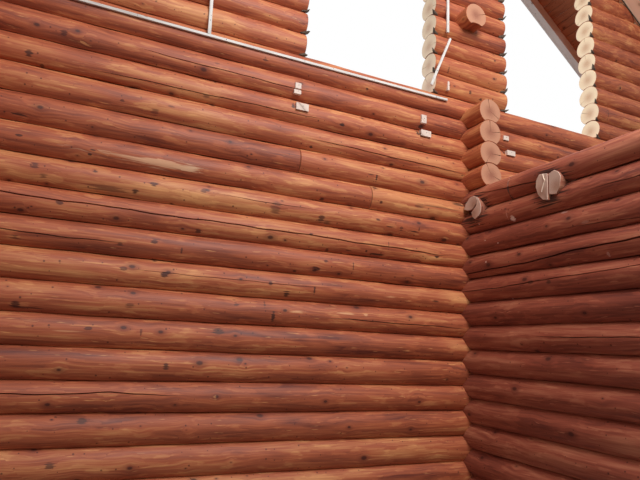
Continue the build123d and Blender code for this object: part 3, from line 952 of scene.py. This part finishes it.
# A splinter that the axe raised stands along the nearer tip's split half, its raw side pale
near_tip = HEWN_TIPS[1][0][0]
ridge = [
    [(near_tip + out, JOIST_PLACES[1] + over + aside, JOIST_HEIGHT + rise) for out, aside in SPLINTER_SECTION]
    for over, rise in SPLINTER
]
raw_splinter = sawn_end("raw_splinter", "D8B8A0", "F0DCC8")
join("tip_splinter", [bar(ridge, 930, SPLINTER_EDGE)], [raw_splinter])


# Caulking in the long grooves: twisted jute, driven in dark and dry, whose ends stick out in tufts
# where the grooves are cut open at the windows and where they meet the side walls.
TUFT_CORNERS = 6
TUFT_EDGE = 0.0008

# Radii of a tuft from its root to its tip
JAMB_TUFT = np.array((0.008, 0.016, 0.013, 0.002))
CORNER_TUFT = (0.008, 0.013, 0.010, 0.002)


def jute_caulking():
    """Twisted jute fibre: the eye gets a dull grey-brown with strands 4 mm apart."""
    material, tree, fibre = new_material("jute_caulking")
    grain = add_node(tree, "Attribute", attribute_name="grain").outputs["Vector"]
    drawn = add_node(tree, "Mapping", {"Vector": grain, "Scale": (60, 250, 60)})
    strands = add_node(tree, "TexNoise", {"Vector": drawn, "Scale": 1.0, "Detail": 4.0})
    ramp = add_node(tree, "ValToRGB", {"Fac": strands})
    for stop, (place, code) in zip(ramp.color_ramp.elements, ((0.3, "2C221E"), (0.75, "6E5C4C"))):
        stop.position = place
        stop.color = hex_colour(code)
    tree.links.new(ramp.outputs["Color"], fibre.inputs["Base Color"])
    fibre.inputs["Roughness"].default_value = 0.92
    bump = add_node(tree, "Bump", {"Height": strands, "Strength": 0.8, "Distance": 0.002})
    tree.links.new(bump.outputs[0], fibre.inputs["Normal"])
    return material


def tuft(path, radii, seed):
    """Ragged tuft: rings across a path (x, y, z), each corner at the ring's radius give or take a third."""
    rng = np.random.default_rng(seed)
    turns = np.linspace(0, 2 * np.pi, TUFT_CORNERS, endpoint=False)
    rings = []
    for (x, y, z), radius in zip(path, radii):
        reach = radius * rng.uniform(0.67, 1.33, TUFT_CORNERS)
        rings.append([(x, y + r * np.sin(turn), z + r * np.cos(turn)) for r, turn in zip(reach, turns)])
    return bar(rings, seed, TUFT_EDGE)


rng = np.random.default_rng(83)
lip_drop = -LOG_RADIUS * np.cos(groove_edge())
lip_place = -LOG_RADIUS * np.sin(groove_edge())
tufts = []
for course in range(SILL_COURSES, HEAD_COURSE + 1):
    for jamb, inward in ((-JAMB_OUTER, 1), (-JAMB_INNER, -1), (JAMB_INNER, 1), (JAMB_OUTER, -1)):
        level = course * COURSE - lip_drop
        reach, rise, swell = rng.uniform(0.012, 0.04), rng.uniform(0.0, 0.05), rng.uniform(0.8, 1.3)
        path = [
            (jamb - inward * 0.05, lip_place - 0.004, level),
            (jamb - inward * 0.004, lip_place - 0.016, level + 0.002),
            (jamb + inward * 0.4 * reach, lip_place - 0.024, level + 0.4 * rise),
            (jamb + inward * reach, lip_place - 0.03, level + rise),
        ]
        tufts.append(tuft(path, JAMB_TUFT * swell, 2000 + len(tufts)))
jute = jute_caulking()
join("jamb_caulking", tufts, [jute])

# In the corners the tufts stand out from where each groove meets a side-wall log
tufts = []
for side in (-1, 1):
    face = side * (CORNER_PLACE - LOG_RADIUS)
    for course in range(SILL_COURSES):
        level = (course + 0.5) * COURSE
        reach, rise = rng.uniform(0.012, 0.035), rng.uniform(-0.01, 0.02)
        path = [
            (face + side * 0.02, lip_place + 0.015, level),
            (face - side * 0.004, lip_place - 0.006, level),
            (face - side * 0.5 * reach, lip_place - 0.5 * reach, level + 0.5 * rise),
            (face - side * reach, lip_place - reach, level + rise),
        ]
        tufts.append(tuft(path, CORNER_TUFT, 2100 + len(tufts)))
join("corner_caulking", tufts, [jute])


# Pale planed battens nailed over the room side: one under the left window, one standing on it, one
# up the pillar and a thin lath that leans from its foot. The nails show as dark dots.
BATTEN_WIDTH = 0.026
SILL_BATTEN_WIDTH = 0.022
BATTEN_FRONT = -0.1383
BATTEN_BACK = -0.1203
BATTEN_EDGE = 0.0015
LATH_WIDTH = 0.022
NAIL_RADIUS = 0.0035
NAIL_SUNK = 0.002
NAIL_PROUD = 0.001
NAIL_EDGE = 0.0004


def bare_board(name, dark, light, knot):
    """Planed softwood without a finish: pale and dull, with faint streaks and a brown knot now and then."""
    return varnished_log(name, dark, light, light, knot_colour=knot)


def batten(middles, width, seed):
    """Flat batten through points (x, z), its back against the crowns of the logs."""
    middles = np.array(middles, float)
    along = middles[-1] - middles[0]
    along /= np.linalg.norm(along)
    side = np.array((along[1], -along[0])) * width / 2
    rings = []
    for middle in middles:
        low, high = middle - side, middle + side
        corners = ((low, BATTEN_BACK), (high, BATTEN_BACK), (high, BATTEN_FRONT), (low, BATTEN_FRONT))
        rings.append([(x, y, z) for (x, z), y in corners])
    return bar(rings, seed, BATTEN_EDGE)


def nail(x, z, front):
    """Nail head: a low disc, points at its radius round (x, z), a millimetre proud of what it holds."""
    turns = np.linspace(0, 2 * np.pi, 8, endpoint=False)
    rings = [
        [(x + NAIL_RADIUS * np.cos(turn), y, z + NAIL_RADIUS * np.sin(turn)) for turn in turns]
        for y in (front + NAIL_SUNK, front - NAIL_PROUD)
    ]
    return bar(rings, 1, NAIL_EDGE)


# Planed softwood that has greyed a little: the battens are the palest thing on the wall
planed_batten = bare_board("planed_batten", "A89C94", "D8D2CC", "5A4030")

# Drawn iron, browned by rust: the heads are dull dark dots
iron, _, iron_skin = new_material("iron_nail")
for socket, value in (("Base Color", hex_colour("3A3430")), ("Roughness", 0.55), ("Metallic", 0.7)):
    iron_skin.inputs[socket].default_value = value

# The battens' lines as points (x, z): the one under the sill sags, and the others bow sideways a little
sill_line = [(x, 3.971 + 0.002 * (x + 2.2) ** 2) for x in np.linspace(-3.97, -0.322, 16)]
room_line = [(-2.595 - 0.015 * np.sin(1.6 * rise), 3.984 + rise) for rise in np.linspace(0, 1.6, 12)]
pillar_line = [(-0.311 + 0.002 * np.sin(4 * z), z) for z in np.linspace(4.69, 5.928, 8)]
lath_line = [(-0.502, 4.088), (-0.434, 4.262), (-0.35, 4.466), (-0.281, 4.633)]
for node, line, width in (
    ("sill_batten", sill_line, SILL_BATTEN_WIDTH),
    ("room_batten", room_line, BATTEN_WIDTH),
    ("pillar_batten", pillar_line, BATTEN_WIDTH),
    ("jamb_lath", lath_line, LATH_WIDTH),
):
    stand_in(node, [batten(line, width, len(node))], [planed_batten])
nail_places = [(x, 3.973) for x in np.linspace(-3.8, -0.45, 6)]
nail_places += [(-2.597, 4.1), (-2.602, 4.3), (-2.61, 4.9), (-0.311, 4.78), (-0.311, 5.4)]
nails = join("batten_nails", [nail(x, z, BATTEN_FRONT) for x, z in nail_places], [iron])


# Small pale blocks pinned to the wall in three sets, one or two on the last log but one and a wider
# one below it, and an upright slip low on the pillar. Each is given by its middle, width, height and
# front.
BLOCKS = (
    (-1.831, 3.742, 0.053, 0.050, -0.132),
    (-1.834, 3.688, 0.062, 0.036, -0.130),
    (-1.787, 3.562, 0.111, 0.062, -0.138),
    (-0.583, 3.727, 0.054, 0.080, -0.132),
    (-0.563, 3.588, 0.110, 0.058, -0.138),
    (0.398, 3.744, 0.064, 0.045, -0.132),
    (0.452, 3.594, 0.102, 0.050, -0.138),
    (-0.303, 4.130, 0.020, 0.090, -0.130),
)

CORNERS = ((-1, -1), (1, -1), (1, 1), (-1, 1))
BLOCK_BACK = -0.1
BLOCK_EDGE = 0.0012
BLOCK_TINT = 0.05
PIN_ASIDE = 0.004
PIN_UP = 0.006

# Planed offcuts, bare: pale with a pinkish brown tinge
planed_block = bare_board("planed_block", "B79C90", "DCC6B8", "7A5A48")
blocks, pins = [], []
for x, z, width, tall, front in BLOCKS:
    rings = [
        [(x + across * width / 2, y, z + up * tall / 2) for across, up in CORNERS]
        for y in (BLOCK_BACK, front)
    ]
    blocks.append(bar(rings, int(1000 + 100 * x), BLOCK_EDGE, BLOCK_TINT))
    pins.append(nail(x + PIN_ASIDE, z + PIN_UP, front))
join("wall_blocks", blocks, [planed_block])
join("block_pins", pins, [iron])


# Roof strip: planed boards 100 mm wide, each lapped a little under the next, run out over the gable,
# bare but for the soffit. Thin plywood covers them in the room, with a jute cord in its joint with the
# logs, and a rafter and a painted fascia close the verge.
ROOF_REACH = 4.75
BOARD_WIDTH = 0.1
BOARD_THICKNESS = 0.025
BOARD_LAP = 0.008
BOARD_GAP = 0.002
BOARD_EDGE = 0.005
BOARD_START = -0.35
BOARD_START_RANGE = 0.03
BOARD_END = 0.82
RIDGE_GAP = 0.0002
TIMBER_EDGE = 0.002
FALL = np.sqrt(1 + ROOF_SLOPE**2)

# Long timbers of each slope: lowest and highest lift, front and back along y, and seed
SLOPE_TIMBERS = {
    "cover_strip": (-0.0145, -0.0085, -0.345, -0.121, 1520),
    "roof_cord": (-0.0255, -0.0148, -0.132, -0.1215, 1530),
    "verge_rafter": (-0.12, -0.0003, 0.74, 0.82, 1500),
    "verge_board": (-0.12, BOARD_THICKNESS, 0.8203, 0.85, 1510),
}


def on_roof(side, y, down, lift):
    """Point at a distance down the slope from the ridge and a lift square to the boards' underside."""
    return (side * (down + lift * ROOF_SLOPE) / FALL, y, RIDGE + (lift - down * ROOF_SLOPE) / FALL)


def slope_timber(side, name):
    """Timber down the whole slope, cut plumb at the ridge and at the eaves.

    A plumb cut moves a corner up the slope by its lift times the tangent of the pitch.
    """
    low, high, front, back, seed = SLOPE_TIMBERS[name]
    corners = ((front, low), (back, low), (back, high), (front, high))
    rings = [
        [on_roof(side, y, down - lift * ROOF_SLOPE, lift) for y, lift in corners]
        for down in np.linspace(RIDGE_GAP, 1, 14) * ROOF_REACH * FALL
    ]
    return bar(rings, seed + side, TIMBER_EDGE)


def stained_outdoors(material, stain):
    """Stain on the boards' undersides past the wall's centre line: the eye gets a soffit as red as the logs.

    A place is below the middle of a board where z + slope |x| is less than it is there.
    """
    tree = material.node_tree
    board = tree.nodes["Principled BSDF"]
    bare = board.inputs["Base Color"].links[0].from_socket
    position = add_node(tree, "TexCoord").outputs["Object"]
    place = add_node(tree, "SeparateXYZ", {0: position})
    outdoors = add_node(tree, "MapRange", {"Value": place.outputs["Y"], "From Min": 0.0, "From Max": 0.02})
    out = add_node(tree, "Math", {0: place.outputs["X"]}, operation="ABSOLUTE")
    height = add_node(
        tree, "Math", {0: out, 1: ROOF_SLOPE, 2: place.outputs["Z"]}, operation="MULTIPLY_ADD"
    )
    middle = RIDGE + 0.5 * BOARD_THICKNESS * FALL
    below = add_node(tree, "Math", {0: height, 1: middle}, operation="LESS_THAN")
    amount = add_node(tree, "Math", {0: outdoors, 1: below}, operation="MULTIPLY")
    stained = add_node(
        tree, "Mix", {0: 1.0, 6: bare, 7: hex_colour(stain)}, data_type="RGBA", blend_type="MULTIPLY"
    )
    colour = add_node(tree, "Mix", {0: amount, 6: bare, 7: stained.outputs[2]}, data_type="RGBA")
    tree.links.new(colour.outputs[2], board.inputs["Base Color"])
    return material


# Bare planed boards of a warm tan, a pinkish plywood paler than they are, and thin grey-white paint on
# the verge, through which the grain still shows
roof_board = stained_outdoors(bare_board("roof_board", "CBA27E", "F0D4B4", "7A4A2C"), "C48C72")
cover_ply = bare_board("cover_plywood", "DCB294", "F2CEB4", "C49A7C")
verge_paint = bare_board("verge_board", "C4C0BE", "E6E3E0", "8A7464")
rng = np.random.default_rng(61)
count = int(ROOF_REACH * FALL / BOARD_WIDTH)
width = ROOF_REACH * FALL / count
plumb_cut = BOARD_THICKNESS * ROOF_SLOPE
for name, side in (("left", -1), ("right", 1)):
    boards = []
    for number in range(count):
        first, last = number * width + BOARD_GAP / 2, (number + 1) * width - BOARD_GAP / 2
        upper_first = first - plumb_cut if number == 0 else first
        upper_last = last - plumb_cut if number == count - 1 else last
        start = BOARD_START + rng.uniform(0, BOARD_START_RANGE)
        corners = (
            (first, -BOARD_LAP), (last, 0), (upper_last, BOARD_THICKNESS), (upper_first, BOARD_THICKNESS)
        )
        rings = [
            [on_roof(side, y, down, lift) for down, lift in corners] for y in np.linspace(start, BOARD_END, 5)
        ]
        boards.append(bar(rings, 1200 + number + 100 * side, BOARD_EDGE))
    stand_in(f"{name}_roof_boards", boards, [roof_board])
    for timber, material in (("cover_strip", cover_ply), ("roof_cord", jute)):
        piece = join(f"{name}_{timber}", [slope_timber(side, timber)], [material])
    for timber in ("verge_rafter", "verge_board"):
        stand_in(f"{name}_{timber}", [slope_timber(side, timber)], [verge_paint])


# Camera at the photograph's viewing angle: 1.64 m above the floor, turned 23.8 degrees to the right
# from squarely facing the gable wall and tipped 11.3 degrees up, with a roll of 2.5 degrees.
EYE = (-3.25, -3.937, 1.636)
YAW, PITCH, ROLL = np.radians((23.754, 11.324, 2.544))
ahead = Vector((np.sin(YAW) * np.cos(PITCH), np.cos(YAW) * np.cos(PITCH), np.sin(PITCH)))
level_right = Vector((np.cos(YAW), -np.sin(YAW), 0))
level_up = level_right.cross(ahead)
right = level_right * np.cos(ROLL) + level_up * np.sin(ROLL)
up = level_up * np.cos(ROLL) - level_right * np.sin(ROLL)
camera = bpy.data.objects.new("camera", bpy.data.cameras.new("camera"))
camera.data.sensor_width = 36.0
camera.data.lens = 29.83
camera.matrix_world = Matrix.Translation(EYE) @ Matrix((right, up, -ahead)).transposed().to_4x4()
bpy.context.scene.collection.objects.link(camera)
bpy.context.scene.camera = camera

# Pale matte floor, which the camera alone sees lighter than it is and with a little glow
FLOOR_HALF = 30
FLOOR_GLOW = 0.36
floor_mesh = bpy.data.meshes.new("floor")
floor_mesh.from_pydata([(FLOOR_HALF * x, FLOOR_HALF * y, 0) for x, y in CORNERS], [], [(0, 1, 2, 3)])
floor = bpy.data.objects.new("floor", floor_mesh)
bpy.context.scene.collection.objects.link(floor)
floor_paint, tree, floor_shader = new_material("pale_floor")
floor_shader.inputs["Roughness"].default_value = 0.8
in_view = add_node(tree, "LightPath").outputs["Is Camera Ray"]
floor_colour = add_node(
    tree, "Mix", {0: in_view, 6: hex_colour("8E8A86"), 7: hex_colour("DEDCDA")}, data_type="RGBA"
)
glow = add_node(tree, "Math", {0: in_view, 1: FLOOR_GLOW}, operation="MULTIPLY")
floor_shader.inputs["Emission Color"].default_value = (1.0, 1.0, 1.0, 1.0)
tree.links.new(glow.outputs[0], floor_shader.inputs["Emission Strength"])
tree.links.new(floor_colour.outputs[2], floor_shader.inputs["Base Color"])
floor_mesh.materials.append(floor_paint)

# A broad soft lamp high on the room side, and a larger one outside, further off
for name, place, aim, size, power in (
    ("room_lamp", (-1.2, -4.4, 6.6), (-0.3, 0.0, 2.6), 2.6, 335),
    ("outside_lamp", (-3.0, 8.0, 7.5), (0.0, 0.0, 3.0), 5.0, 600),
):
    lamp = bpy.data.objects.new(name, bpy.data.lights.new(name, "AREA"))
    lamp.data.size = size
    lamp.data.energy = power
    lamp.location = place
    lamp.rotation_euler = (Vector(aim) - Vector(place)).to_track_quat("-Z", "Y").to_euler()
    bpy.context.scene.collection.objects.link(lamp)

# White surroundings, which light the object at a third of what the camera and glossy surfaces see
world = bpy.data.worlds.new("studio")
bpy.context.scene.world = world
world.use_nodes = True
sky = world.node_tree
rays = add_node(sky, "LightPath")
seen = add_node(
    sky, "Math", {0: rays.outputs["Is Camera Ray"], 1: rays.outputs["Is Glossy Ray"]}, operation="MAXIMUM"
)
seen = add_node(sky, "Math", {0: seen, 1: rays.outputs["Is Transmission Ray"]}, operation="MAXIMUM")
strength = add_node(sky, "MapRange", {"Value": seen, "To Min": 0.32, "To Max": 1.0})
background = sky.nodes["Background"]
background.inputs["Color"].default_value = (1.0, 1.0, 1.0, 1.0)
sky.links.new(strength.outputs[0], background.inputs["Strength"])

scene = bpy.context.scene
scene.view_settings.view_transform = "Standard"
